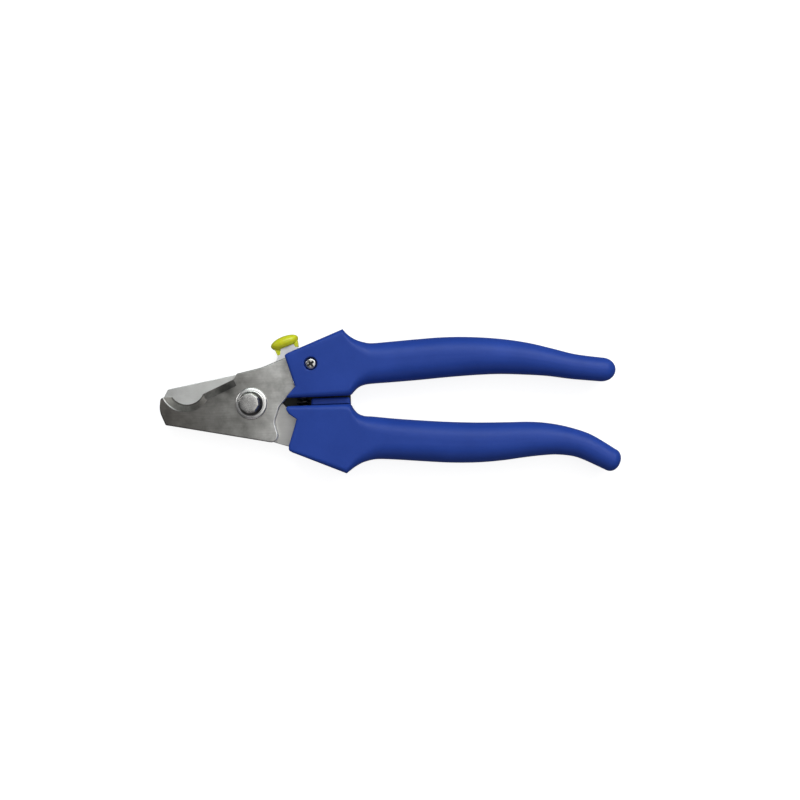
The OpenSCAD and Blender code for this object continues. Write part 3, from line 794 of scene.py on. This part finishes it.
rows = [(0.0, 0.3), (0.0, 0.6)] + [(h, button_scale(h) - 0.03 * math.exp(-h * 9)) for h in
                                   [0, 0.06, 0.14, 0.25] + [0.45 + 1.45 * k / 8 for k in range(9)]]
rows += [(h, button_scale(h)) for h in
         (BELLY + (HEIGHT - BELLY) * math.sin(math.radians(5 * k)) for k in range(1, 18))]
rings = []
for h, s in rows:
    ring = []
    for k in range(72):
        a = 2 * math.pi * k / 72
        x, y = LENGTH / 2 * s * math.sin(a), h
        ring.append((BUTTON_AT[0] + x * math.cos(TILT) - y * math.sin(TILT),
                     BUTTON_AT[1] + x * math.sin(TILT) + y * math.cos(TILT),
                     LEVER_MID + WIDTH / 2 * s * math.cos(a)))
    rings.append(ring)
button = rings_mesh("thumb_button_cap", rings, 50)
# A short skirt on each side of the lever joins it to the button.
left = [[8.6, 19.1, 0.3], [9.7, 16.7, 0.25], [10.7, 17.2, 0.25], [11, 20.4, 0.3]]
right = [[15.0, 21.6, 0.3], [16.2, 19.6, 0.3], [17.25, 19.75, 0.2], [17, 22.2, 0.3]]
skirts = [plate("skirt", rounded(side, 4), (LEVER_Z[0] - 0.05, LEVER_Z[1] + 0.05), 0.12)
          for side in (left, right)]
cut(button, skirts, "UNION")
button = cut(button, [prism("lever_room", rounded(LEVER, 6), LEVER_Z)], sharp=45)
finish(weighted(button), YELLOW, "latch", "yellow_plastic", "thumb_button")

# Screw with a cross recess, its nut and its bush.
SCREW_TOP = 12.7
pin = ([(0, 0.7), (1.05, 0.7), (1.25, 0.9), (1.25, 11.2), (1.9, 11.2), (2.0, 11.3), (2.0, 11.9)]
       + arc(1.25, 11.95, 0.75, 0, 78, 8) + [(0.9, SCREW_TOP), (0, SCREW_TOP)])
screw = lathe("latch_screw_pin", pin, SCREW, sides=72, sharp=40)
cross = []
for turn in (35, 125):
    c, s = math.cos(math.radians(turn)), math.sin(math.radians(turn))
    rows = []
    for z, length, width in ((SCREW_TOP - 1.1, 0.75, 0.36), (SCREW_TOP + 0.1, 1.62, 0.42)):
        rows.append([(SCREW[0] + a * c - b * s, SCREW[1] + a * s + b * c, z)
                     for a, b in ((-length, -width), (length, -width), (length, width),
                                  (-length, width))])
    cross.append(rings_mesh("cross", rows))
screw = cut(screw, cross, sharp=40)
screw.data.materials.append(BRIGHT)
screw.data.materials.append(BLACK_WIRE_AND_RECESS_SHADE)
# faces inside the cross recess take the black material: painted shade in the recess
for f in screw.data.polygons:
    reach = math.hypot(f.center.x / MM - SCREW[0], f.center.y / MM - SCREW[1])
    if 11.4 < f.center.z / MM < SCREW_TOP - 0.02 and reach < 1.35:
        f.material_index = 1
finish(screw, BRIGHT, "upper_half", "bright_steel", "latch_screw")

nut = plate("latch_nut_hex", hexagon(5.0), (0.5, 2.5), 0.18, 2)
nut = cut(nut, [prism("bore", circle(SCREW, 1.27, 48), (0, 3))], sharp=32)
finish(weighted(nut), BRASS, "upper_half", "nut_brass", "latch_nut")

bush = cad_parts["latch_bush"]
bush.data.materials.clear()
bush.data.materials.append(BRIGHT)

# ---- Floor, light and camera ----------------------------------------------------------------

FLOOR_Z = -0.05
floor = make("floor", [(x, y, FLOOR_Z) for x, y in
                       ((-1500, -1500), (1600, -1500), (1600, 1500), (-1500, 1500))], [(0, 1, 2, 3)])
surface = Nodes("pale_floor")
surface.set(color=surface.ramp(surface.noise(8, 2), (0.3, (0.36, 0.36, 0.36)), (0.7, (0.38, 0.38, 0.38))),
            rough=0.8, spec=0.0)
surface.shader.inputs["Emission Color"].default_value = (1, 1, 1, 1)
surface.shader.inputs["Emission Strength"].default_value = 0.86
floor.data.materials.append(surface.mat)
floor.visible_diffuse = False
floor.visible_glossy = False

# Soft ambient light, with a pale backdrop where the camera sees past the floor.
world = bpy.data.worlds.new("studio")
bpy.context.scene.world = world
world.use_nodes = True
tree = world.node_tree
ambient = tree.nodes["Background"]
ambient.inputs["Color"].default_value = (0.86, 0.88, 0.92, 1)
ambient.inputs["Strength"].default_value = 0.14
pale = tree.nodes.new("ShaderNodeBackground")
pale.inputs["Color"].default_value = (0.94, 0.94, 0.95, 1)
seen = tree.nodes.new("ShaderNodeLightPath")
both = tree.nodes.new("ShaderNodeMixShader")
tree.links.new(seen.outputs["Is Camera Ray"], both.inputs["Fac"])
tree.links.new(ambient.outputs["Background"], both.inputs[1])
tree.links.new(pale.outputs["Background"], both.inputs[2])
tree.links.new(both.outputs["Shader"], tree.nodes["World Output"].inputs["Surface"])

TARGET = Vector((0.053, 0, 0))      # every light faces this point


def softbox(name, at, size, watts, colour=(1, 1, 1)):
    """Rectangular area light that faces TARGET."""
    light = bpy.data.lights.new(name, "AREA")
    light.shape = "RECTANGLE"
    light.size, light.size_y = size
    light.energy = watts
    light.color = colour
    ob = bpy.data.objects.new(name, light)
    bpy.context.scene.collection.objects.link(ob)
    ob.location = at
    ob.rotation_euler = (TARGET - Vector(at)).to_track_quat("-Z", "Y").to_euler()


softbox("key", (0.16, 0.50, 0.44), (0.75, 0.38), 2.6, (0.90, 1.0, 1.0))
softbox("kicker", (0.60, 0.40, 0.45), (0.32, 0.32), 1.2)
softbox("overhead", (0.38, 0.20, 1.0), (1.40, 1.1), 4.9)
softbox("left", (-0.70, 0.30, 0.30), (0.4, 0.3), 0.9)
softbox("fill", (0.0, -0.8, 0.45), (0.8, 0.3), 0.4, (1.0, 0.88, 1.0))

# Straight down on the tool, turned a little about the vertical.
camera = bpy.data.cameras.new("camera")
camera.sensor_width = 36
camera.lens = 50.4
camera.clip_start = 0.01
cam = bpy.data.objects.new("camera", camera)
bpy.context.scene.collection.objects.link(cam)
right = Vector((0.99926, -0.03839, 0))
up = Vector((0.03839, 0.99926, 0))
back = right.cross(up)
cam.matrix_world = Matrix((
    (right.x, up.x, back.x, 0.05306),
    (right.y, up.y, back.y, -0.00081),
    (right.z, up.z, back.z, 0.4093),
    (0, 0, 0, 1)))
bpy.context.scene.camera = cam
bpy.context.scene.view_settings.view_transform = "Standard"
